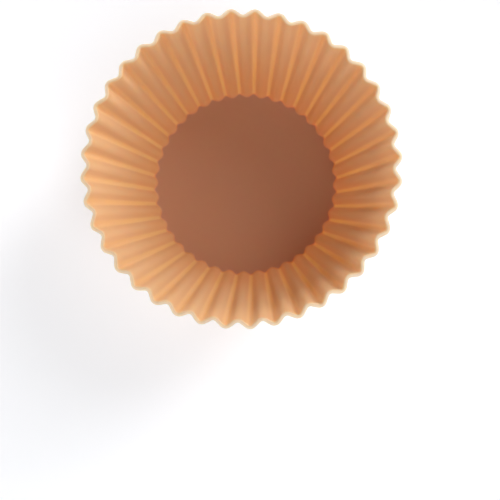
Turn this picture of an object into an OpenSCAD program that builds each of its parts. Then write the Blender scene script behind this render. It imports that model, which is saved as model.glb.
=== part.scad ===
// Pleated baking cup, moulded in one piece of silicone.
// It stands on its foot: the origin is the centre of the underside and +Z is up.

/* [Overall size] */
// Outside diameter of the rim over its outward folds, to the corner before it is rounded
rim_d = 70; // [60:1:96]
// Outside diameter of the foot over its outward folds, to the corner before it is rounded
foot_d = 46; // [42:0.5:56]
// Height from the underside to the top of the rim, to the corner before it is rounded
height = 30.5; // [20:0.5:50]

/* [Thicknesses] */
// Thickness of the pleated wall
wall = 0.95; // [0.7:0.05:1.2]
// Thickness of the flat base
base = 1.2; // [0.8:0.1:3]

/* [Pleats] */
// Number of pleats round the wall
pleats = 40; // [24:4:48]
// Depth of a pleat at the rim, from outward fold to inward fold
rim_pleat_depth = 1.55; // [0.6:0.05:1.9]
// Depth of a pleat at the foot, from outward fold to inward fold
foot_pleat_depth = 0.75; // [0.3:0.05:1]
// Radius inside each fold, which narrow pleats limit
fold_r = 0.4; // [0.15:0.05:0.5]

/* [Edges] */
// Radius of the edge under the foot, at the outward folds
foot_edge_r = 0.8; // [0.2:0.1:1.2]
// Radius of the corner between the floor and the wall, at the outward folds
floor_corner_r = 0.6; // [0.3:0.1:2]
// Radius of both edges of the rim, which a thin wall limits
rim_edge_r = 0.3; // [0.1:0.05:0.5]

/* [Hidden] */
silicone_colour = [0.82, 0.6, 0.43];

// Steps round the edge of the foot, each edge of the rim and the corner of the floor,
// and steps up the straight wall
foot_steps = 2;
rim_steps = 2;
floor_steps = 3;
wall_steps = 2;

// Where a skin has its points on a fold, from the fold's top (0) to its flank (1).
// A fold is wide on its outer side and narrow on its inner side.
wide_turns = [0, 0.5, 1];
narrow_turns = [0, 1];

// The wall leans out by this angle. The pleats stand out square to the leaning wall, and
// the rim is cut square to it, so the outward folds end lower than the inward ones.
lean = atan((rim_d - foot_d) / 2 / height);

// Half of all that the pleated wall takes up across its slope, at the foot and at the rim
half_wall = wall / 2;
foot_reach = half_wall + foot_pleat_depth / 2;
rim_reach = half_wall + rim_pleat_depth / 2;

// Middle of the wall as [radius, height], at the foot and at the rim
foot_middle = [foot_d / 2 - foot_reach * cos(lean), foot_reach * sin(lean)];
rim_middle = [rim_d / 2 - rim_reach * cos(lean), height - rim_reach * sin(lean)];
wall_length = norm(rim_middle - foot_middle);

// Radius of a fold at the middle of the wall. The folds take no more than this share of the
// largest radius that has room for both of them.
fold_share = 0.95;
function mid_fold_r(half_pitch, depth) =
    min(fold_r + half_wall, fold_share * (half_pitch ^ 2 + depth ^ 2) / (4 * depth));

// Angle between a pleat's straight flank and the circle that the pleats follow
function flank_angle(half_pitch, depth, r) =
    asin(2 * r / norm([half_pitch, 2 * r - depth])) - atan2(2 * r - depth, half_pitch);

function backwards(list) = [for (i = [len(list) - 1 : -1 : 0]) list[i]];

// Half a pleat as pairs of [along, out], from its outward fold to its inward fold.
// side is how far the skin lies outside the middle of the wall.
function half_pleat(half_pitch, depth, side, outer_skin) =
    let (
        r = mid_fold_r(half_pitch, depth),
        flank = flank_angle(half_pitch, depth, r),
        out_r = r + side,
        in_r = r - side,
        out_turns = outer_skin ? wide_turns : narrow_turns,
        in_turns = backwards(outer_skin ? narrow_turns : wide_turns)
    )
    [
        for (turn = out_turns)
            [out_r * sin(flank * turn), depth / 2 - r + out_r * cos(flank * turn)],
        for (turn = in_turns)
            [half_pitch - in_r * sin(flank * turn), r - depth / 2 - in_r * cos(flank * turn)]
    ];

// Number of steps in half a pleat, and of points round one ring
half_count = len(wide_turns) + len(narrow_turns) - 1;
ring_count = pleats * 2 * half_count;

// Ring of points [radius, angle, height] round a skin of the wall, at a share of the way
// from the foot (0) to the rim (1)
function wall_ring(share, side, outer_skin) =
    let (
        middle = foot_middle + share * (rim_middle - foot_middle),
        depth = foot_pleat_depth + share * (rim_pleat_depth - foot_pleat_depth),
        half_pitch = PI * middle[0] / pleats,
        half = half_pleat(half_pitch, depth, side, outer_skin)
    )
    [
        for (pleat = [0 : pleats - 1], i = [0 : 2 * half_count - 1])
            let (
                mirrored = i > half_count,
                p = half[mirrored ? 2 * half_count - i : i],
                along = mirrored ? 2 * half_pitch - p[0] : p[0],
                share_of_pitch = along / (2 * half_pitch)
            )
            [
                middle[0] + p[1] * cos(lean),
                (pleat + share_of_pitch) * 360 / pleats,
                middle[1] - p[1] * sin(lean)
            ]
    ];

// A rounded edge joins the leaning wall to a flat face, and turns by this angle
flat_turn = 90 - lean;

// Ring where such an edge has turned by an angle from the flat face at height level.
// The edge ends at the given ring of the wall.
function flat_edge_ring(ring, level, turn) = [
    for (p = ring)
        let (
            rise = p[2] - level,
            run = rise / cos(lean),
            r = run / tan(flat_turn / 2),
            flat_end = p[0] - rise * tan(lean) - run
        )
        [flat_end + r * sin(turn), p[1], level + r * (1 - cos(turn))]
];

// Ring where an edge of the rim has turned by an angle from the wall's own face
rim_edge_share = 0.45;
rim_edge = min(rim_edge_r, rim_edge_share * wall);
function rim_edge_ring(turn, outer_skin) =
    let (
        share = 1 - rim_edge * (1 - sin(turn)) / wall_length,
        side = half_wall - rim_edge * (1 - cos(turn))
    )
    wall_ring(share, outer_skin ? side : -side, outer_skin);

// Share of the wall's length at which each skin leaves its flat face and is straight
foot_run = foot_edge_r * tan(flat_turn / 2);
floor_run = floor_corner_r * tan(flat_turn / 2);
groove_rise = floor_run * cos(lean) + (foot_reach - wall) * sin(lean);
foot_share = foot_run / wall_length;
floor_share = (base + groove_rise - foot_middle[1]) / (rim_middle[1] - foot_middle[1]);

foot_ring = wall_ring(foot_share, half_wall, true);
floor_ring = wall_ring(floor_share, -half_wall, false);

// Rings from the flat underside, up the outer skin, over the rim and down to the floor
rings = [
    for (i = [0 : foot_steps - 1])
        flat_edge_ring(foot_ring, 0, flat_turn * i / foot_steps),
    for (i = [0 : wall_steps - 1])
        wall_ring(foot_share + (1 - foot_share) * i / wall_steps, half_wall, true),
    for (i = [0 : rim_steps])
        rim_edge_ring(90 * i / rim_steps, true),
    for (i = [rim_steps : -1 : 0])
        rim_edge_ring(90 * i / rim_steps, false),
    for (i = [wall_steps - 1 : -1 : 0])
        wall_ring(floor_share + (1 - floor_share) * i / wall_steps, -half_wall, false),
    for (i = [floor_steps - 1 : -1 : 0])
        flat_edge_ring(floor_ring, base, flat_turn * i / floor_steps)
];

// The whole cup is one closed skin over those rings, with a fan over each flat face
module cup() {
    ring_points = [
        for (ring = rings, p = ring)
            [p[0] * cos(p[1]), p[0] * sin(p[1]), p[2]]
    ];
    foot_centre = len(ring_points);
    floor_centre = foot_centre + 1;
    last_ring = (len(rings) - 1) * ring_count;
    skin_faces = [
        for (ring = [0 : len(rings) - 2], i = [0 : ring_count - 1])
            let (
                here = ring * ring_count,
                above = here + ring_count,
                next = (i + 1) % ring_count
            )
            each [
                [here + i, above + i, above + next],
                [here + i, above + next, here + next]
            ]
    ];
    foot_faces = [
        for (i = [0 : ring_count - 1])
            [foot_centre, i, (i + 1) % ring_count]
    ];
    floor_faces = [
        for (i = [0 : ring_count - 1])
            [floor_centre, last_ring + (i + 1) % ring_count, last_ring + i]
    ];
    color(silicone_colour)
        polyhedron(
            points = concat(ring_points, [[0, 0, 0], [0, 0, base]]),
            faces = concat(foot_faces, skin_faces, floor_faces)
        );
}

cup();
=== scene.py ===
"""Looks of a pleated silicone baking cup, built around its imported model.

The cup is one moulded piece. A Geometry Nodes tree makes its skin from the cup's real sizes,
and one silicone finish dresses it. Stage, lights and camera stand as the photograph shows them.
"""

import logging
import math
from dataclasses import dataclass, field
from enum import Enum

import bpy
from mathutils import Matrix, Vector


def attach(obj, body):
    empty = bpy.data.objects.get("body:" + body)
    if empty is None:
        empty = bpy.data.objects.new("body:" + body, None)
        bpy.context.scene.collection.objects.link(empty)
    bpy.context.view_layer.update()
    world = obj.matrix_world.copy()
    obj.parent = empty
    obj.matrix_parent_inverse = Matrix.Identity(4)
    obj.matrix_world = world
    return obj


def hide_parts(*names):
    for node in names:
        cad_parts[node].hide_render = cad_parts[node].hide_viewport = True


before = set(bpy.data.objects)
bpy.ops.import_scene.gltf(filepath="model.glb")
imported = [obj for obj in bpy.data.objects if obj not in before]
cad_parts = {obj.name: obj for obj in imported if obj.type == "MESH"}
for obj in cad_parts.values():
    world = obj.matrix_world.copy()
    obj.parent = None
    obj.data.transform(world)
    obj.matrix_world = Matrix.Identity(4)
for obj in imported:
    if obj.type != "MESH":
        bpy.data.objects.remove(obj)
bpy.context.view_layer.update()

LOG = logging.getLogger("baking_cup")
MM = 0.001

Colour = tuple[float, float, float, float]
Place = tuple[float, float, float]
Span = tuple[float, float]

# A Mix node has several inputs named A and B, and outputs named Result. These are the numbers
# of those for colours.
MIX_FIRST, MIX_SECOND, MIX_RESULT = 6, 7, 2

# The sRGB curve: the end and slope of its straight part, and the offset and power of the rest
SRGB_STEP, SRGB_SLOPE, SRGB_OFFSET, SRGB_POWER = 0.04045, 12.92, 0.055, 2.4


def linear(code: str) -> Colour:
    """Turns an sRGB hex colour to linear red, green and blue, with full alpha.

    Args:
        code: The colour as a hash and six hex digits.

    Returns:
        The linear colour, with an alpha of one.
    """
    parts = [int(code[i : i + 2], 16) / 255 for i in (1, 3, 5)]
    red, green, blue = (
        c / SRGB_SLOPE if c <= SRGB_STEP else ((c + SRGB_OFFSET) / (1 + SRGB_OFFSET)) ** SRGB_POWER
        for c in parts
    )
    return (red, green, blue, 1.0)


def add_node(
    tree: bpy.types.NodeTree,
    kind: str,
    settings: dict[str, object] | None = None,
    inputs: dict[int | str, object] | None = None,
) -> bpy.types.Node:
    """Adds a node to a tree, with its settings, its values and its links.

    Args:
        tree: The tree that gets the node.
        kind: The node's type name.
        settings: Values of the node's own properties, by name.
        inputs: What each input gets, by name or number: a value, or a socket to link to it.

    Returns:
        The new node.
    """
    node = tree.nodes.new(kind)
    for name, value in (settings or {}).items():
        setattr(node, name, value)
    for key, value in (inputs or {}).items():
        if isinstance(value, bpy.types.NodeSocket):
            tree.links.new(value, node.inputs[key])
        else:
            node.inputs[key].default_value = value
    return node


class Skin(Enum):
    """The skin of the wall that a ring of points lies on. The value is its side of the middle."""

    OUTER = 1
    INNER = -1


@dataclass(frozen=True)
class SectionPoint:
    """One point of the section that runs from the underside over the rim to the floor.

    Attributes:
        share: How far up the wall it is, from the foot (0) to the rim (1).
        side: How far it lies outside the middle of the wall, in millimetres.
        level: Height of the flat face that the wall turns into, in millimetres.
        turn: Angle that the skin has turned from that flat face, in radians.
        spread: Share of the radius that the point keeps, to close the flat faces.
    """

    share: float
    side: float
    level: float
    turn: float
    spread: float = 1.0


# The fields of a section point that the tree reads, and those of them that are lengths
SECTION_FIELDS = ("share", "side", "level", "turn", "spread")
SECTION_LENGTHS = ("side", "level")

# The noise that shapes the wobble runs from 0 to 1, with this as its middle
NOISE_MIDDLE = (0.5, 0.5, 0.5)

# Share of half a pleat's points that each of its two folds takes; the straight flank between
# them takes the rest
FOLD_SHARE = 5 / 14

# The folds take at most this share of the largest radius that has room for both of them
ROOM_SHARE = 0.95

# The painted band of light (painted glow) along each outward fold ends at this share of the
# way to the inward fold, at the foot and at the rim
BAND_AT_FOOT, BAND_AT_RIM = 0.34, 0.46

# The band fades out over this share of that way
BAND_FADE = 0.22

# Strength of the band at the rim, as a share of its strength at the foot
BAND_STRENGTH = 0.4

# How strongly the finish paints its highlight on the rim at the middle of the wall. Its outer
# face gets 0.5 more and its inner face 0.5 less, and the highlight is held between 0 and 1.
RIM_HIGHLIGHT_MIDDLE = 0.85

# The rule of the pleats, one row for each Math node: its name, its operation and what goes in.
# A text is an input of the tree, a field of the section or an earlier row. q runs from an
# outward fold (0) over its flank to the next inward fold (1).
PLEAT_RULE: tuple[tuple[str | float, ...], ...] = (
    # Where the point is in its pleat
    ("half", "DIVIDE", "column", "Steps"),
    ("q", "PINGPONG", "half", 1.0),
    ("halves", "MULTIPLY_ADD", "half", 0.5, 0.5),
    ("fold number", "FLOOR", "halves"),
    ("from fold", "MULTIPLY_ADD", "fold number", -2.0, "half"),
    ("hand", "SIGN", "from fold"),
    # The lean sinks the outward folds. Near the foot a point slides up or down its own line of
    # the wall to make up for it, so that the rings there are level.
    ("lean sin", "SINE", "Lean"),
    ("lean cos", "COSINE", "Lean"),
    ("lean tan", "TANGENT", "Lean"),
    ("height gain", "SUBTRACT", "Rim Height", "Foot Height"),
    ("wave angle", "MULTIPLY", "q", math.pi),
    ("wave", "COSINE", "wave angle"),
    ("sinking", "MULTIPLY", "Foot Depth", "lean sin"),
    ("half sinking", "MULTIPLY", "sinking", 0.5),
    ("sunk share", "DIVIDE", "half sinking", "height gain"),
    ("slide", "MULTIPLY", "wave", "sunk share"),
    ("near foot", "SUBTRACT", 1.0, "share"),
    ("place up", "MULTIPLY_ADD", "near foot", "slide", "share"),
    # The middle of the wall there
    ("radius gain", "SUBTRACT", "Rim Radius", "Foot Radius"),
    ("middle radius", "MULTIPLY_ADD", "place up", "radius gain", "Foot Radius"),
    ("middle height", "MULTIPLY_ADD", "place up", "height gain", "Foot Height"),
    ("depth gain", "SUBTRACT", "Rim Depth", "Foot Depth"),
    ("depth", "MULTIPLY_ADD", "place up", "depth gain", "Foot Depth"),
    ("half angle", "DIVIDE", math.pi, "Pleats"),
    ("half pitch", "MULTIPLY", "middle radius", "half angle"),
    # The fold radius that has room there, and the angle of the flank
    ("pitch square", "MULTIPLY", "half pitch", "half pitch"),
    ("slope square", "MULTIPLY_ADD", "depth", "depth", "pitch square"),
    ("room", "DIVIDE", "slope square", "depth"),
    ("most fold", "MULTIPLY", "room", ROOM_SHARE / 4),
    ("fold", "MINIMUM", "Fold Radius", "most fold"),
    ("two folds", "ADD", "fold", "fold"),
    ("drop", "SUBTRACT", "two folds", "depth"),
    ("apart square", "MULTIPLY_ADD", "drop", "drop", "pitch square"),
    ("apart", "SQRT", "apart square"),
    ("flank sine", "DIVIDE", "two folds", "apart"),
    ("tangent angle", "ARCSINE", "flank sine"),
    ("centres angle", "ARCTAN2", "drop", "half pitch"),
    ("flank", "SUBTRACT", "tangent angle", "centres angle"),
    ("flank sin", "SINE", "flank"),
    ("flank cos", "COSINE", "flank"),
    # How far the point is along the outward fold, the flank and the inward fold
    ("out share", "DIVIDE CLAMPED", "q", FOLD_SHARE),
    ("to inward", "SUBTRACT", 1.0, "q"),
    ("in share", "DIVIDE CLAMPED", "to inward", FOLD_SHARE),
    ("past fold", "SUBTRACT", "q", FOLD_SHARE),
    ("flank share", "DIVIDE CLAMPED", "past fold", 1 - 2 * FOLD_SHARE),
    ("out turn", "MULTIPLY", "flank", "out share"),
    ("in turn", "MULTIPLY", "flank", "in share"),
    ("out sin", "SINE", "out turn"),
    ("out cos", "COSINE", "out turn"),
    ("in sin", "SINE", "in turn"),
    ("in cos", "COSINE", "in turn"),
    # The middle of the wall there, along the pleat and outwards
    ("sins", "ADD", "out sin", "flank sin"),
    ("sin sum", "SUBTRACT", "sins", "in sin"),
    ("coses", "ADD", "out cos", "flank cos"),
    ("cos sum", "SUBTRACT", "coses", "in cos"),
    ("folds along", "MULTIPLY", "two folds", "flank sin"),
    ("flank along", "SUBTRACT", "half pitch", "folds along"),
    ("folds out", "MULTIPLY", "two folds", "flank cos"),
    ("flank out", "SUBTRACT", "drop", "folds out"),
    ("arcs along", "MULTIPLY", "fold", "sin sum"),
    ("middle along", "MULTIPLY_ADD", "flank share", "flank along", "arcs along"),
    ("fold centre", "MULTIPLY", "drop", -0.5),
    ("arcs out", "MULTIPLY_ADD", "fold", "cos sum", "fold centre"),
    ("middle out", "MULTIPLY_ADD", "flank share", "flank out", "arcs out"),
    # The skin, which lies square to the middle
    ("turn sum", "ADD", "out turn", "in turn"),
    ("skin turn", "SUBTRACT", "turn sum", "flank"),
    ("skin sin", "SINE", "skin turn"),
    ("skin cos", "COSINE", "skin turn"),
    ("along", "MULTIPLY_ADD", "side", "skin sin", "middle along"),
    ("out", "MULTIPLY_ADD", "side", "skin cos", "middle out"),
    # The place round the cup
    ("pitch share", "DIVIDE", "along", "half pitch"),
    ("signed share", "MULTIPLY", "pitch share", "hand"),
    ("half pleats", "MULTIPLY_ADD", "fold number", 2.0, "signed share"),
    ("angle", "MULTIPLY", "half pleats", "half angle"),
    ("angle sin", "SINE", "angle"),
    ("angle cos", "COSINE", "angle"),
    # The wall leans, and the pleats stand square to it
    ("wall radius", "MULTIPLY_ADD", "out", "lean cos", "middle radius"),
    ("sunk", "MULTIPLY", "out", "lean sin"),
    ("wall height", "SUBTRACT", "middle height", "sunk"),
    # The rounded turn into a flat face
    ("rise", "SUBTRACT", "wall height", "level"),
    ("run", "DIVIDE", "rise", "lean cos"),
    ("flat turn", "SUBTRACT", math.pi / 2, "Lean"),
    ("half turn", "MULTIPLY", "flat turn", 0.5),
    ("half turn tan", "TANGENT", "half turn"),
    ("edge", "DIVIDE", "run", "half turn tan"),
    ("lean run", "MULTIPLY", "rise", "lean tan"),
    ("both runs", "ADD", "lean run", "run"),
    ("flat end", "SUBTRACT", "wall radius", "both runs"),
    ("turn sin", "SINE", "turn"),
    ("turn cos", "COSINE", "turn"),
    ("turned radius", "MULTIPLY_ADD", "edge", "turn sin", "flat end"),
    ("left cos", "SUBTRACT", 1.0, "turn cos"),
    ("z", "MULTIPLY_ADD", "edge", "left cos", "level"),
    ("radius", "MULTIPLY", "turned radius", "spread"),
    ("x", "MULTIPLY", "radius", "angle cos"),
    ("y", "MULTIPLY", "radius", "angle sin"),
    # What the finish reads. How far the skin faces outwards, from the inner skin (0) to the
    # outer skin (1). The finish paints shade on the outer skin with it.
    ("side share", "DIVIDE", "side", "Wall"),
    ("outside mark", "ADD CLAMPED", "side share", 0.5),
    # On the inner skin of the wall: the painted band of light along an outward fold (1), which
    # fades towards the rim
    ("wall part", "DIVIDE", "turn", "flat turn"),
    ("inner part", "SUBTRACT", "wall part", "outside mark"),
    ("band edge", "MULTIPLY_ADD", "share", BAND_AT_RIM - BAND_AT_FOOT, BAND_AT_FOOT),
    ("fold part", "SUBTRACT", "band edge", "pitch share"),
    ("band", "DIVIDE CLAMPED", "fold part", BAND_FADE),
    ("band strength", "MULTIPLY_ADD", "near foot", 1 - BAND_STRENGTH, BAND_STRENGTH),
    ("band part", "MULTIPLY", "band", "band strength"),
    ("fold mark", "MULTIPLY CLAMPED", "band part", "inner part"),
    # How far down the wall it is, from the rim (0) to the foot (1). The finish paints light
    # near the foot with it.
    ("low mark", "SUBTRACT", 1.0, "share"),
    # How far on the flat floor inside, from the wall (0). The finish paints shade on the
    # floor with it.
    ("flat part", "SUBTRACT", 1.0, "wall part"),
    ("inside", "GREATER_THAN", "level", 0.0),
    ("floor mark", "MULTIPLY", "flat part", "inside"),
    # How far over the edge of the rim, and more so on its outer side, for the painted highlight on
    # the rim
    ("past edge", "SUBTRACT", "share", "Edge Share"),
    ("edge length", "SUBTRACT", 1.0, "Edge Share"),
    ("on edge", "DIVIDE CLAMPED", "past edge", "edge length"),
    ("outer part", "ADD CLAMPED", "side share", RIM_HIGHLIGHT_MIDDLE),
    ("rim mark", "MULTIPLY", "on edge", "outer part"),
)


@dataclass(frozen=True)
class MouldedSilicone:
    """Platinum-cured silicone rubber, moulded in a matt steel mould.

    To the eye it is soft and satin. Light soaks in and comes out again, so the thin wall glows
    orange where a light stands behind it, and its thicker or shaded places look brown. On top of
    that, its colour carries painted light and shade: a painted glow along the outward folds and
    near the foot, painted shade on the floor inside and on the outer skin, and a painted
    highlight on the rim.

    Attributes:
        body: Colour of the silicone in full light.
        deep: Colour of its cloudier places.
        low: Colour of the wall near the foot, warmer and a little lighter: painted light.
        painted_foot_light_span: Where that colour starts and is full, from the rim (0) to the foot
            (1).
        glow: Painted glow inside its outward folds, which catch the light behind them.
        painted_glow_span: The same for that colour, from the edge of its band (0) to the fold (1).
        painted_floor_shade: Painted shade: colour of the floor inside, deeper and browner than the
            wall.
        painted_floor_shade_span: The same for that colour, from the wall (0) to the flat floor
            (1).
        outside: Painted shade on its outer skin, which no light comes through from within.
        painted_outside_shade_span: Where that colour starts and is full, from the inner skin (0)
            to the outer skin (1).
        edge: Painted highlight on its thin rim, which light leaves on every side.
        painted_rim_light_span: The same for that colour, over the edge of the rim.
        cloud_mm: Size of the faint clouds in the colour.
        cloud_detail: Number of finer clouds within each.
        cloud_sharpness: How strong those finer clouds are.
        grain_mm: Size of the mould's matt grain. The real one is near 0.05 mm, too fine to show
            here, so it is drawn this coarse.
        grain_detail: Number of finer grains within each.
        grain_sharpness: How strong those finer grains are.
        grain_strength: How strongly the grain shows in the bump.
        grain_depth_mm: Depth of the grain.
        scatter_mm: How far red light travels inside.
        scatter_share: How far red, green and blue travel, as shares of that.
        roughness: Roughness of the satin surface, at its clearest and cloudiest places.
        ior: Refractive index of silicone rubber.
    """

    body: str = "#E9C093"
    deep: str = "#E4BA8D"
    # Painted light: a warmer, lighter wall near the foot
    low: str = "#EFC08C"
    painted_foot_light_span: Span = (0.3, 1.0)
    # Painted glow along the outward folds
    glow: str = "#F8D399"
    painted_glow_span: Span = (0.0, 1.0)
    # Painted shade: a deeper, browner floor inside
    painted_floor_shade: str = "#D8AB8D"
    painted_floor_shade_span: Span = (0.4, 1.0)
    # Painted shade: a darker outer skin
    outside: str = "#C8A488"
    painted_outside_shade_span: Span = (0.7, 1.0)
    # Painted highlight: a near-white rim
    edge: str = "#FFDEC9"
    painted_rim_light_span: Span = (0.0, 1.0)
    cloud_mm: float = 9.0
    cloud_detail: float = 4.0
    cloud_sharpness: float = 0.55
    grain_mm: float = 0.4
    grain_detail: float = 2.0
    grain_sharpness: float = 0.6
    grain_strength: float = 0.12
    grain_depth_mm: float = 0.02
    scatter_mm: float = 1.5
    scatter_share: Place = (1.0, 0.9, 0.6)
    roughness: Span = (0.35, 0.46)
    ior: float = 1.41

    def material(self) -> bpy.types.Material:
        """Makes the material.

        Returns:
            The material, which reads Object coordinates and the marks that the tree left on the
            skin: low, fold, floor, outside and rim. With them it paints light near the foot, along
                the
            folds and on the rim, and shade on the floor inside and on the outer skin.
        """
        made = bpy.data.materials.new("moulded_silicone")
        made.use_nodes = True
        tree = made.node_tree
        tree.nodes.clear()
        place = add_node(tree, "ShaderNodeTexCoord").outputs["Object"]
        clouds = add_node(
            tree,
            "ShaderNodeTexNoise",
            {"noise_dimensions": "3D"},
            {
                "Vector": place,
                "Scale": 1 / (self.cloud_mm * MM),
                "Detail": self.cloud_detail,
                "Roughness": self.cloud_sharpness,
            },
        ).outputs["Fac"]
        grain = add_node(
            tree,
            "ShaderNodeTexNoise",
            {"noise_dimensions": "3D"},
            {
                "Vector": place,
                "Scale": 1 / (self.grain_mm * MM),
                "Detail": self.grain_detail,
                "Roughness": self.grain_sharpness,
            },
        ).outputs["Fac"]
        colour = add_node(
            tree,
            "ShaderNodeMix",
            {"data_type": "RGBA"},
            {"Factor": clouds, MIX_FIRST: linear(self.body), MIX_SECOND: linear(self.deep)},
        ).outputs[MIX_RESULT]
        # Each mark mixes in a tint: low and fold paint light, floor and outside paint shade, rim
        # paints a highlight
        for mark, (start, end), tint in (
            ("low", self.painted_foot_light_span, self.low),
            ("fold", self.painted_glow_span, self.glow),
            ("floor", self.painted_floor_shade_span, self.painted_floor_shade),
            ("outside", self.painted_outside_shade_span, self.outside),
            ("rim", self.painted_rim_light_span, self.edge),
        ):
            marked = add_node(
                tree, "ShaderNodeAttribute", {"attribute_name": mark, "attribute_type": "GEOMETRY"}
            ).outputs["Fac"]
            amount = add_node(
                tree,
                "ShaderNodeMapRange",
                {"interpolation_type": "SMOOTHSTEP"},
                {"Value": marked, "From Min": start, "From Max": end},
            ).outputs["Result"]
            colour = add_node(
                tree,
                "ShaderNodeMix",
                {"data_type": "RGBA"},
                {"Factor": amount, MIX_FIRST: colour, MIX_SECOND: linear(tint)},
            ).outputs[MIX_RESULT]
        smoothest, roughest = self.roughness
        rough = add_node(
            tree,
            "ShaderNodeMapRange",
            {},
            {"Value": clouds, "To Min": smoothest, "To Max": roughest},
        ).outputs["Result"]
        bump = add_node(
            tree,
            "ShaderNodeBump",
            {},
            {
                "Strength": self.grain_strength,
                "Distance": self.grain_depth_mm * MM,
                "Height": grain,
            },
        ).outputs["Normal"]
        shader = add_node(
            tree,
            "ShaderNodeBsdfPrincipled",
            {"subsurface_method": "RANDOM_WALK"},
            {
                "Base Color": colour,
                "Roughness": rough,
                "Normal": bump,
                "IOR": self.ior,
                "Subsurface Weight": 1.0,
                "Subsurface Radius": self.scatter_share,
                "Subsurface Scale": self.scatter_mm * MM,
            },
        )
        add_node(tree, "ShaderNodeOutputMaterial", {}, {"Surface": shader.outputs["BSDF"]})
        return made


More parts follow.
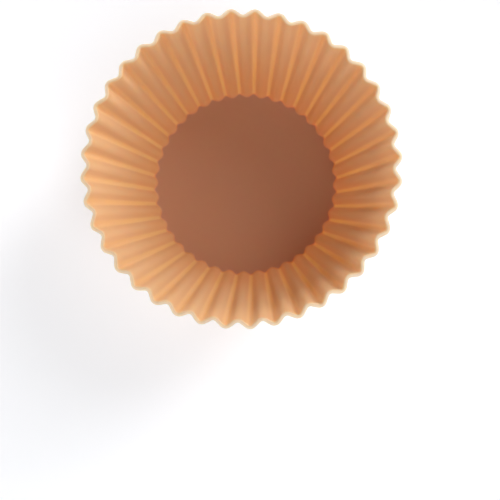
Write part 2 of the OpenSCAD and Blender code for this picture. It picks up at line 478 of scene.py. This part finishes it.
@dataclass
class PleatedCup:
    """The cup: a pleated wall that leans out from a flat foot, with a floor inside.

    Sizes are in millimetres. Diameters and height go to the corners before they are rounded.

    Attributes:
        rim_d: Outside diameter of the rim over its outward folds.
        foot_d: Outside diameter of the foot over its outward folds.
        height: Height from the underside to the top of the rim.
        wall: Thickness of the pleated wall.
        base: Thickness of the flat base.
        pleats: Number of pleats round the wall.
        rim_depth: Depth of a pleat at the rim, from outward fold to inward fold.
        foot_depth: Depth of a pleat at the foot.
        fold_r: Radius inside each fold, which narrow pleats limit.
        foot_edge_r: Radius of the edge under the foot, at the outward folds.
        floor_corner_r: Radius of the corner between the floor and the wall.
        rim_edge_r: Radius of both edges of the rim.
        rim_light: How far down the wall the rim's painted highlight reaches.
        steps: Number of steps in half a pleat.
        wall_steps: Number of points up each skin of the straight wall.
        foot_steps: Number of steps round the edge of the foot.
        floor_steps: Number of steps round the corner of the floor.
        rim_steps: Number of steps round each edge of the rim.
        flat_spreads: Shares of its radius at which a flat face has its rings.
        wobble: How far the noise that bends the wall runs, from one side to the other.
        wobble_wave: Length of that noise's waves.
        wobble_detail: Number of finer waves within each.
        seam_gap: Points closer than this are one point.
        seed: Seed of the noise.
        finish: Finish of the whole cup.
    """

    rim_d: float = 70.0
    foot_d: float = 46.0
    height: float = 30.5
    wall: float = 0.95
    base: float = 1.2
    pleats: int = 40
    rim_depth: float = 1.55
    foot_depth: float = 0.64
    fold_r: float = 0.7
    foot_edge_r: float = 0.8
    floor_corner_r: float = 0.6
    rim_edge_r: float = 0.3
    rim_light: float = 0.7
    steps: int = 14
    wall_steps: int = 14
    foot_steps: int = 6
    floor_steps: int = 7
    rim_steps: int = 6
    flat_spreads: tuple[float, ...] = (0.0, 0.25, 0.55, 0.8, 0.93)
    wobble: float = 0.12
    wobble_wave: float = 22.0
    wobble_detail: float = 1.0
    seam_gap: float = 0.001
    seed: int = 7
    finish: MouldedSilicone = field(default_factory=MouldedSilicone)

    @property
    def lean(self) -> float:
        """Angle by which the wall leans out, in radians."""
        return math.atan((self.rim_d - self.foot_d) / 2 / self.height)

    @property
    def flat_turn(self) -> float:
        """Angle between the leaning wall and a flat face, in radians."""
        return math.pi / 2 - self.lean

    @property
    def foot_middle(self) -> tuple[float, float]:
        """Radius and height of the wall's middle at the foot, in millimetres."""
        reach = (self.wall + self.foot_depth) / 2
        return (self.foot_d / 2 - reach * math.cos(self.lean), reach * math.sin(self.lean))

    @property
    def rim_middle(self) -> tuple[float, float]:
        """Radius and height of the wall's middle at the rim, in millimetres."""
        reach = (self.wall + self.rim_depth) / 2
        radius = self.rim_d / 2 - reach * math.cos(self.lean)
        return (radius, self.height - reach * math.sin(self.lean))

    @property
    def wall_length(self) -> float:
        """Length of the wall's middle up its slope, in millimetres."""
        return math.dist(self.foot_middle, self.rim_middle)

    def level(self, skin: Skin) -> float:
        """Height of the flat face that a skin of the wall turns into, in millimetres."""
        return 0.0 if skin is Skin.OUTER else self.base

    def face_points(self, skin: Skin, start: float, turn_steps: int) -> list[SectionPoint]:
        """Lists the points from the centre of a flat face to where its rounded turn ends.

        Args:
            skin: The skin of the wall that the face joins.
            start: Share of the wall at which that skin is straight.
            turn_steps: Number of steps in the rounded turn.

        Returns:
            The points in order, up to the first one of the straight wall.
        """
        side, level = skin.value * self.wall / 2, self.level(skin)
        flat = [SectionPoint(start, side, level, 0.0, spread) for spread in self.flat_spreads]
        turns = [self.flat_turn * i / turn_steps for i in range(turn_steps)]
        return flat + [SectionPoint(start, side, level, turn) for turn in turns]

    def wall_points(self, skin: Skin, start: float) -> list[SectionPoint]:
        """Lists the points up one skin of the wall and round its edge of the rim.

        Args:
            skin: The skin.
            start: Share of the wall at which it is straight.

        Returns:
            The points in order.
        """
        half_wall, level, length = self.wall / 2, self.level(skin), self.wall_length
        rise = (1 - self.rim_light / length - start) / (self.wall_steps - 1)
        points = [
            SectionPoint(start + rise * i, skin.value * half_wall, level, self.flat_turn)
            for i in range(self.wall_steps)
        ]
        for i in range(self.rim_steps + 1):
            turn = math.pi / 2 * i / self.rim_steps
            side = half_wall - self.rim_edge_r * (1 - math.cos(turn))
            share = 1 - self.rim_edge_r * (1 - math.sin(turn)) / length
            points.append(SectionPoint(share, skin.value * side, level, self.flat_turn))
        return points

    def section(self) -> list[SectionPoint]:
        """Lists the section's points, from the centre of the underside to that of the floor.

        Returns:
            The points in order. Each stands for one ring round the cup.
        """
        foot_z, rim_z = self.foot_middle[1], self.rim_middle[1]
        turn_tan = math.tan(self.flat_turn / 2)
        foot_share = self.foot_edge_r * turn_tan / self.wall_length
        floor_rise = self.floor_corner_r * turn_tan * math.cos(self.lean)
        floor_rise += (self.foot_depth - self.wall) / 2 * math.sin(self.lean)
        floor_share = (self.base + floor_rise - foot_z) / (rim_z - foot_z)
        outer = self.face_points(Skin.OUTER, foot_share, self.foot_steps)
        outer += self.wall_points(Skin.OUTER, foot_share)
        inner = self.face_points(Skin.INNER, floor_share, self.floor_steps)
        inner += self.wall_points(Skin.INNER, floor_share)
        return outer + inner[::-1]

    def section_line(self) -> bpy.types.Object:
        """Makes the section as a line of vertices that carry its fields, in metres and radians.

        Returns:
            The line's object, which the tree reads.
        """
        points = self.section()
        mesh = bpy.data.meshes.new("cup_section")
        mesh.from_pydata([(0.0, 0.0, 0.0)] * len(points), [], [])
        for name in SECTION_FIELDS:
            layer = mesh.attributes.new(name, "FLOAT", "POINT")
            scale = MM if name in SECTION_LENGTHS else 1.0
            layer.data.foreach_set("value", [getattr(p, name) * scale for p in points])
        made = bpy.data.objects.new("cup_skin", mesh)
        bpy.context.scene.collection.objects.link(made)
        return made

    def tree_inputs(self) -> dict[str, tuple[str, float | int]]:
        """Lists the tree's named inputs for the cup's sizes.

        Returns:
            For each input its socket type and value, in metres and radians.
        """
        (foot_x, foot_z), (rim_x, rim_z) = self.foot_middle, self.rim_middle
        lengths = {
            "Foot Radius": foot_x,
            "Foot Height": foot_z,
            "Rim Radius": rim_x,
            "Rim Height": rim_z,
            "Foot Depth": self.foot_depth,
            "Rim Depth": self.rim_depth,
            "Fold Radius": self.fold_r + self.wall / 2,
            "Wall": self.wall,
            "Wobble": self.wobble,
            "Wobble Wave": self.wobble_wave,
        }
        inputs: dict[str, tuple[str, float | int]] = {
            name: ("NodeSocketFloat", value * MM) for name, value in lengths.items()
        }
        inputs["Lean"] = ("NodeSocketFloat", self.lean)
        inputs["Edge Share"] = ("NodeSocketFloat", 1 - self.rim_light / self.wall_length)
        inputs["Pleats"] = ("NodeSocketInt", self.pleats)
        inputs["Steps"] = ("NodeSocketInt", self.steps)
        inputs["Seed"] = ("NodeSocketInt", self.seed)
        return inputs

    def lay_grid(
        self, tree: bpy.types.NodeTree, given: bpy.types.bpy_prop_collection
    ) -> tuple[bpy.types.NodeSocket, dict[str, bpy.types.NodeSocket]]:
        """Adds a grid with a column for each step round the cup and a row for each section point.

        Args:
            tree: The tree.
            given: The tree's inputs.

        Returns:
            The grid, and by name its column and the fields of its section point.
        """
        rows = add_node(
            tree, "GeometryNodeAttributeDomainSize", {}, {"Geometry": given["Section"]}
        ).outputs["Point Count"]
        halves = add_node(
            tree,
            "ShaderNodeMath",
            {"operation": "MULTIPLY"},
            {0: given["Pleats"], 1: given["Steps"]},
        ).outputs[0]
        columns = add_node(
            tree, "ShaderNodeMath", {"operation": "MULTIPLY_ADD"}, {0: halves, 1: 2.0, 2: 1.0}
        ).outputs[0]
        grid = add_node(
            tree, "GeometryNodeMeshGrid", {}, {"Vertices X": columns, "Vertices Y": rows}
        ).outputs["Mesh"]
        index = add_node(tree, "GeometryNodeInputIndex").outputs[0]
        shared = add_node(
            tree, "ShaderNodeMath", {"operation": "DIVIDE"}, {0: index, 1: rows}
        ).outputs[0]
        column = add_node(tree, "ShaderNodeMath", {"operation": "FLOOR"}, {0: shared}).outputs[0]
        row = add_node(
            tree, "ShaderNodeMath", {"operation": "MODULO"}, {0: index, 1: rows}
        ).outputs[0]
        fields = {"column": column}
        for name in SECTION_FIELDS:
            stored = add_node(
                tree, "GeometryNodeInputNamedAttribute", {"data_type": "FLOAT"}, {"Name": name}
            ).outputs["Attribute"]
            fields[name] = add_node(
                tree,
                "GeometryNodeSampleIndex",
                {"data_type": "FLOAT", "domain": "POINT"},
                {"Geometry": given["Section"], "Value": stored, "Index": row},
            ).outputs["Value"]
        return grid, fields

    def soften(
        self,
        tree: bpy.types.NodeTree,
        given: bpy.types.bpy_prop_collection,
        skin: bpy.types.NodeSocket,
    ) -> bpy.types.NodeSocket:
        """Bends the skin a little. Soft silicone never stands quite true, least of all its rim.

        Args:
            tree: The tree.
            given: The tree's inputs.
            skin: The skin.

        Returns:
            The bent skin.
        """
        place = add_node(tree, "GeometryNodeInputPosition").outputs[0]
        wave = add_node(
            tree, "ShaderNodeMath", {"operation": "DIVIDE"}, {0: 1.0, 1: given["Wobble Wave"]}
        ).outputs[0]
        noise = add_node(
            tree,
            "ShaderNodeTexNoise",
            {"noise_dimensions": "4D"},
            {"Vector": place, "W": given["Seed"], "Scale": wave, "Detail": self.wobble_detail},
        ).outputs["Color"]
        centred = add_node(
            tree, "ShaderNodeVectorMath", {"operation": "SUBTRACT"}, {0: noise, 1: NOISE_MIDDLE}
        ).outputs[0]
        height = add_node(tree, "ShaderNodeSeparateXYZ", {}, {0: place}).outputs["Z"]
        height_share = add_node(
            tree,
            "ShaderNodeMath",
            {"operation": "DIVIDE", "use_clamp": True},
            {0: height, 1: given["Rim Height"]},
        ).outputs[0]
        amount = add_node(
            tree,
            "ShaderNodeMath",
            {"operation": "MULTIPLY"},
            {0: height_share, 1: given["Wobble"]},
        ).outputs[0]
        offset = add_node(
            tree, "ShaderNodeVectorMath", {"operation": "SCALE"}, {0: centred, "Scale": amount}
        ).outputs[0]
        return add_node(
            tree, "GeometryNodeSetPosition", {}, {"Geometry": skin, "Offset": offset}
        ).outputs["Geometry"]

    def tree(self) -> bpy.types.GeometryNodeTree:
        """Builds the Geometry Nodes tree that carries the section round the pleats.

        Returns:
            The tree. Its geometry input is the section line.
        """
        tree = bpy.data.node_groups.new("pleated_cup", "GeometryNodeTree")
        face = tree.interface
        face.new_socket("Section", in_out="INPUT", socket_type="NodeSocketGeometry")
        for name, (kind, _) in self.tree_inputs().items():
            face.new_socket(name, in_out="INPUT", socket_type=kind)
        face.new_socket("Finish", in_out="INPUT", socket_type="NodeSocketMaterial")
        face.new_socket("Cup", in_out="OUTPUT", socket_type="NodeSocketGeometry")
        given = add_node(tree, "NodeGroupInput").outputs

        grid, results = self.lay_grid(tree, given)
        results.update({name: given[name] for name in self.tree_inputs()})
        for name, operation, *values in PLEAT_RULE:
            results[name] = add_node(
                tree,
                "ShaderNodeMath",
                {"operation": operation.split()[0], "use_clamp": operation.endswith("CLAMPED")},
                {i: results.get(value, value) for i, value in enumerate(values)},
            ).outputs[0]
        spot = add_node(
            tree,
            "ShaderNodeCombineXYZ",
            {},
            {"X": results["x"], "Y": results["y"], "Z": results["z"]},
        ).outputs[0]
        skin = add_node(
            tree, "GeometryNodeSetPosition", {}, {"Geometry": grid, "Position": spot}
        ).outputs["Geometry"]
        # The marks on which the finish paints light and shade
        for name in ("low", "fold", "floor", "outside", "rim"):
            skin = add_node(
                tree,
                "GeometryNodeStoreNamedAttribute",
                {"data_type": "FLOAT", "domain": "POINT"},
                {"Geometry": skin, "Name": name, "Value": results[f"{name} mark"]},
            ).outputs["Geometry"]
        skin = self.soften(tree, given, skin)
        closed = add_node(
            tree,
            "GeometryNodeMergeByDistance",
            {},
            {"Geometry": skin, "Distance": self.seam_gap * MM},
        ).outputs["Geometry"]
        smooth = add_node(
            tree, "GeometryNodeSetShadeSmooth", {}, {"Geometry": closed, "Shade Smooth": True}
        ).outputs["Geometry"]
        real = add_node(tree, "GeometryNodeRealizeInstances", {}, {"Geometry": smooth}).outputs[0]
        dressed = add_node(
            tree, "GeometryNodeSetMaterial", {}, {"Geometry": real, "Material": given["Finish"]}
        ).outputs[0]
        add_node(tree, "NodeGroupOutput", {}, {"Cup": dressed})
        return tree

    def build(self) -> bpy.types.Object:
        """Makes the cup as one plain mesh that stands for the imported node.

        Returns:
            The cup's object, at the origin.
        """
        made = self.section_line()
        tree = self.tree()
        modifier = made.modifiers.new("pleats", "NODES")
        modifier.node_group = tree
        finish = self.finish.material()
        values = {name: value for name, (_, value) in self.tree_inputs().items()}
        values["Finish"] = finish
        for item in tree.interface.items_tree:
            if item.in_out == "INPUT" and item.name in values:
                modifier[item.identifier] = values[item.name]
        graph = bpy.context.evaluated_depsgraph_get()
        mesh = bpy.data.meshes.new_from_object(made.evaluated_get(graph))
        mesh.name = "cup_skin"
        made.modifiers.clear()
        made.data = mesh
        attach(made, "root")
        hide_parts("cup")
        LOG.info("cup skin: %d vertices, %d faces", len(mesh.vertices), len(mesh.polygons))
        return made


@dataclass(frozen=True)
class LightTable:
    """Opal acrylic sheet of a photographer's light table, which is matt and lit from below.

    To the eye it is an even white, and the shadow on it is soft and faint.

    Attributes:
        colour: Colour of the sheet.
        glow: Light that comes up through it, as a share of full white.
        grain_mm: Size of the matt grain on its face.
        grain_detail: Number of finer grains within each.
        grain_strength: How strongly the grain shows in the bump.
        grain_depth_mm: Depth of the grain.
        roughness: Roughness of that face, at its smoothest and roughest grains.
        gloss: Strength of its reflections, as the shader's specular level.
    """

    colour: str = "#FAFBFE"
    glow: float = 0.4
    grain_mm: float = 1.5
    grain_detail: float = 3.0
    grain_strength: float = 0.05
    grain_depth_mm: float = 0.02
    roughness: Span = (0.85, 0.95)
    gloss: float = 0.1

    def material(self) -> bpy.types.Material:
        """Makes the material.

        Returns:
            The material, with its grain in its bump and its roughness.
        """
        made = bpy.data.materials.new("opal_acrylic")
        made.use_nodes = True
        tree = made.node_tree
        tree.nodes.clear()
        place = add_node(tree, "ShaderNodeTexCoord").outputs["Object"]
        grain = add_node(
            tree,
            "ShaderNodeTexNoise",
            {},
            {
                "Vector": place,
                "Scale": 1 / (self.grain_mm * MM),
                "Detail": self.grain_detail,
            },
        ).outputs["Fac"]
        smoothest, roughest = self.roughness
        rough = add_node(
            tree,
            "ShaderNodeMapRange",
            {},
            {"Value": grain, "To Min": smoothest, "To Max": roughest},
        ).outputs["Result"]
        bump = add_node(
            tree,
            "ShaderNodeBump",
            {},
            {
                "Strength": self.grain_strength,
                "Distance": self.grain_depth_mm * MM,
                "Height": grain,
            },
        ).outputs["Normal"]
        shader = add_node(
            tree,
            "ShaderNodeBsdfPrincipled",
            {},
            {
                "Base Color": linear(self.colour),
                "Roughness": rough,
                "Normal": bump,
                "Specular IOR Level": self.gloss,
                "Emission Color": linear(self.colour),
                "Emission Strength": self.glow,
            },
        )
        add_node(tree, "ShaderNodeOutputMaterial", {}, {"Surface": shader.outputs["BSDF"]})
        return made


@dataclass(frozen=True)
class Softbox:
    """A large softbox so far off that it lights the whole stage evenly.

    Attributes:
        name: Name of the light.
        azimuth: Direction that it stands in, in degrees from +X towards +Y.
        elevation: Its height above the floor, in degrees.
        spread: Its width as seen from the cup, in degrees.
        strength: Light that it gives to a face square to it, in watts a square metre.
        colour: Its colour.
    """

    name: str
    azimuth: float
    elevation: float
    spread: float
    strength: float
    colour: str = "#FFFFFF"

    def build(self) -> None:
        """Adds the light to the scene."""
        data = bpy.data.lights.new(self.name, "SUN")
        data.angle = math.radians(self.spread)
        data.energy = self.strength
        data.color = linear(self.colour)[:3]
        made = bpy.data.objects.new(self.name, data)
        around, up = math.radians(self.azimuth), math.radians(self.elevation)
        flat = math.cos(up)
        place = Vector((flat * math.cos(around), flat * math.sin(around), math.sin(up)))
        made.location = place
        made.rotation_euler = (-place).to_track_quat("-Z", "Y").to_euler()
        bpy.context.scene.collection.objects.link(made)


@dataclass
class Studio:
    """The pale floor, the soft lights and the camera.

    The camera's values come from a fit of the cup's rim and floor edges to the photograph, and
    the lights' from a fit of its colours.

    Attributes:
        floor_side: Side of the floor, in metres, so long that its edge never shows.
        air: Colour of the air round the stage.
        air_low: Strength of its light near the horizon.
        air_high: Strength of its light overhead.
        glow_from: Height in degrees at which that strength starts to fall.
        glow_to: Height in degrees above which it falls no more.
        eye: Where the camera stands, in metres.
        aim: What it looks at, in metres.
        upwards: Direction that is up in the picture.
        lens: Focal length, in millimetres.
        sensor: Width of the sensor, in millimetres.
        clip: Nearest and farthest distance that the camera sees, in metres.
        bounces: How often light may pass between matt faces, which the inside of a cup needs.
        table: Finish of the floor.
        lights: The softboxes.
    """

    floor_side: float = 40.0
    air: str = "#FFFFFF"
    air_low: float = 1.0
    air_high: float = 0.03
    glow_from: float = 4.0
    glow_to: float = 14.0
    eye: Place = (0.01159, -0.02873, 0.23810)
    aim: Place = (0.00377, -0.01764, 0.03040)
    upwards: Place = (-0.0924, 0.9941, 0.0566)
    lens: float = 70.0
    sensor: float = 36.0
    clip: Span = (0.01, 100.0)
    bounces: int = 12
    table: LightTable = field(default_factory=LightTable)
    lights: tuple[Softbox, ...] = (
        Softbox("softbox_back_right_low", 45.0, 15.0, 24.0, 1.18),
        Softbox("softbox_back_right_high", 45.0, 35.0, 28.0, 0.89),
        Softbox("softbox_back_left_low", 135.0, 5.0, 12.0, 0.75),
        Softbox("softbox_back_left_high", 135.0, 35.0, 28.0, 0.27),
        Softbox("softbox_front_left_low", 225.0, 15.0, 24.0, 0.60),
        Softbox("softbox_front_left_high", 225.0, 35.0, 28.0, 0.30),
        Softbox("softbox_front_right_low", 315.0, 15.0, 24.0, 0.43),
        Softbox("softbox_front_right_high", 315.0, 35.0, 28.0, 0.39),
        Softbox("softbox_top", 315.0, 60.0, 28.0, 0.43),
    )

    def build_floor(self) -> None:
        """Lays the pale floor under the cup."""
        half = self.floor_side / 2
        corners = [(-half, -half, 0.0), (half, -half, 0.0), (half, half, 0.0), (-half, half, 0.0)]
        mesh = bpy.data.meshes.new("studio_floor")
        mesh.from_pydata(corners, [], [(0, 1, 2, 3)])
        mesh.materials.append(self.table.material())
        floor = bpy.data.objects.new("studio_floor", mesh)
        bpy.context.scene.collection.objects.link(floor)

    def build_lights(self) -> None:
        """Sets the softboxes and the pale air round the stage."""
        for light in self.lights:
            light.build()
        world = bpy.data.worlds.new("studio_air")
        world.use_nodes = True
        tree = world.node_tree
        tree.nodes.clear()
        direction = add_node(tree, "ShaderNodeTexCoord").outputs["Generated"]
        height = add_node(tree, "ShaderNodeSeparateXYZ", {}, {0: direction}).outputs["Z"]
        strength = add_node(
            tree,
            "ShaderNodeMapRange",
            {"interpolation_type": "SMOOTHSTEP"},
            {
                "Value": height,
                "From Min": math.sin(math.radians(self.glow_from)),
                "From Max": math.sin(math.radians(self.glow_to)),
                "To Min": self.air_low,
                "To Max": self.air_high,
            },
        ).outputs["Result"]
        shade = add_node(
            tree, "ShaderNodeBackground", {}, {"Color": linear(self.air), "Strength": strength}
        )
        add_node(tree, "ShaderNodeOutputWorld", {}, {"Surface": shade.outputs[0]})
        bpy.context.scene.world = world

    def build_camera(self) -> None:
        """Sets the camera at the photograph's viewing angle."""
        data = bpy.data.cameras.new("photo_camera")
        data.sensor_width = self.sensor
        data.lens = self.lens
        data.clip_start, data.clip_end = self.clip
        made = bpy.data.objects.new("photo_camera", data)
        back = (Vector(self.eye) - Vector(self.aim)).normalized()
        right = Vector(self.upwards).cross(back).normalized()
        turn = Matrix((right, back.cross(right), back)).transposed()
        made.matrix_world = Matrix.Translation(self.eye) @ turn.to_4x4()
        bpy.context.scene.collection.objects.link(made)
        bpy.context.scene.camera = made

    def build(self) -> None:
        """Builds the whole studio, and keeps the picture's colours as they are."""
        self.build_floor()
        self.build_lights()
        self.build_camera()
        bpy.context.scene.view_settings.view_transform = "Standard"
        bpy.context.scene.view_settings.look = "None"
        bpy.context.scene.cycles.diffuse_bounces = self.bounces


def main() -> None:
    """Builds the studio and the cup, and reports each."""
    logging.basicConfig(level=logging.INFO, format="%(name)s: %(message)s")
    Studio().build()
    LOG.info("studio: floor, lights and camera are set")
    cup = PleatedCup().build()
    LOG.info("cup: %s rides on root", cup.name)


if __name__ == "__main__":
    main()
